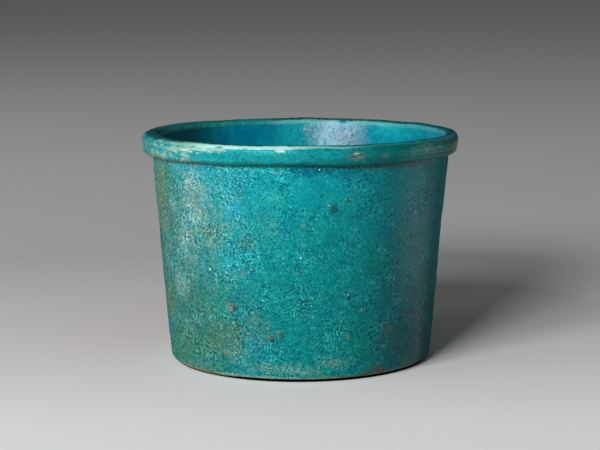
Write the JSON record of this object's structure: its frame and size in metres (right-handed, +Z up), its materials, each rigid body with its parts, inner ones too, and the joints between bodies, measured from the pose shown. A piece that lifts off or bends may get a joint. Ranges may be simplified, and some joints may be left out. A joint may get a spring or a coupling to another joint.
{
  "type": "cup",
  "caption": "Wide round cup with a straight tapered wall, flat foot, open mouth and a rolled collar round the rim, glazed inside and out over a coarse paste body.",
  "frame": {"origin": "centre of the flat foot, on the surface that the cup stands on", "axes": "+Z up along the cup's axis, through the middle of the mouth; X and Y are any two square directions across the round cup"},
  "size_m": [0.115, 0.115, 0.0826],
  "materials": {
    "paste": "bare fired quartz paste, coarse and matt",
    "glaze": "turquoise copper glaze, pitted and weathered, soft gloss"
  },
  "bodies": {
    "root": {"base_disc": "paste", "wall": "paste", "rim_collar": "paste", "glaze_coat": "glaze"}
  },
  "joints": []
}
